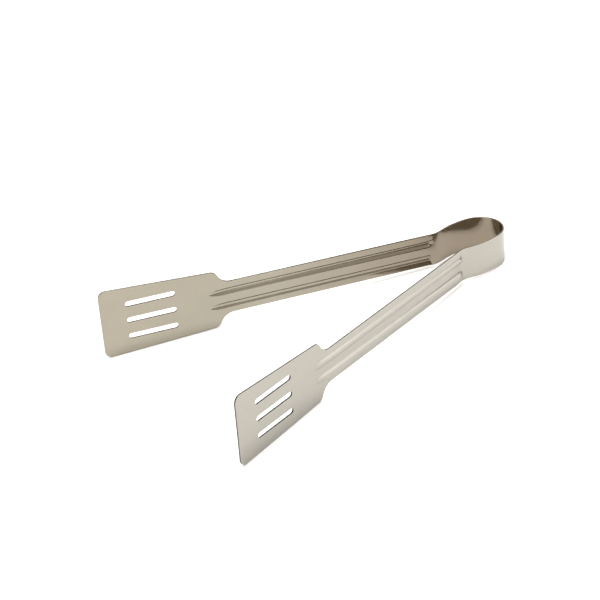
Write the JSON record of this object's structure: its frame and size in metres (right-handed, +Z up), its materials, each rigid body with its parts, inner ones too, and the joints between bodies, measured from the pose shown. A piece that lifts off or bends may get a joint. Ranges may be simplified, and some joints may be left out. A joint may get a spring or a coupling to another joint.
{
  "type": "serving tongs",
  "caption": "Sprung one-piece sheet steel tongs with a round bow, ribbed arms and flat slotted blades for lifting flat items.",
  "frame": {"origin": "middle of the box's underside, on the level that the standing tongs rest on", "axes": "+X from the bow to the blades, +Y to the left arm, +Z up; the tongs stand on edge, so the arms open along Y"},
  "size_m": [0.2416, 0.1442, 0.0447],
  "materials": {
    "stainless": "satin"
  },
  "bodies": {
    "crown": {"bow_crown": "stainless"},
    "flank_left": {"bow_shoulder_left": "stainless", "bow_flank_left": "stainless"},
    "flank_right": {"bow_shoulder_right": "stainless", "bow_flank_right": "stainless"},
    "arm_left": {"neck_left": "stainless", "arm_left": "stainless", "blade_left": "stainless"},
    "arm_right": {"neck_right": "stainless", "arm_right": "stainless", "blade_right": "stainless"}
  },
  "joints": [
    {"name": "flex_crown_left", "type": "hinge", "parent": "crown", "child": "flank_left", "pos_m": [-0.11406, 0.0108, 0.0109], "axis": [0.0498, 0, -0.9988], "range_deg": [0, 9], "stiffness_Nm_per_rad": 13.4},
    {"name": "flex_neck_left", "type": "hinge", "parent": "flank_left", "child": "arm_left", "pos_m": [-0.08543, 0.01285, 0.01233], "axis": [0.0498, 0, -0.9988], "range_deg": [0, 9], "stiffness_Nm_per_rad": 13.4},
    {"name": "flex_crown_right", "type": "hinge", "parent": "crown", "child": "flank_right", "pos_m": [-0.11406, -0.0108, 0.0109], "axis": [-0.0498, 0, 0.9988], "range_deg": [0, 9], "stiffness_Nm_per_rad": 13.4},
    {"name": "flex_neck_right", "type": "hinge", "parent": "flank_right", "child": "arm_right", "pos_m": [-0.08543, -0.01285, 0.01233], "axis": [-0.0498, 0, 0.9988], "range_deg": [0, 9], "stiffness_Nm_per_rad": 13.4}
  ],
  "couplings": [
    {"joint": "flex_neck_left", "follows": "flex_crown_left", "ratio": 1},
    {"joint": "flex_crown_right", "follows": "flex_crown_left", "ratio": 1},
    {"joint": "flex_neck_right", "follows": "flex_crown_left", "ratio": 1}
  ]
}
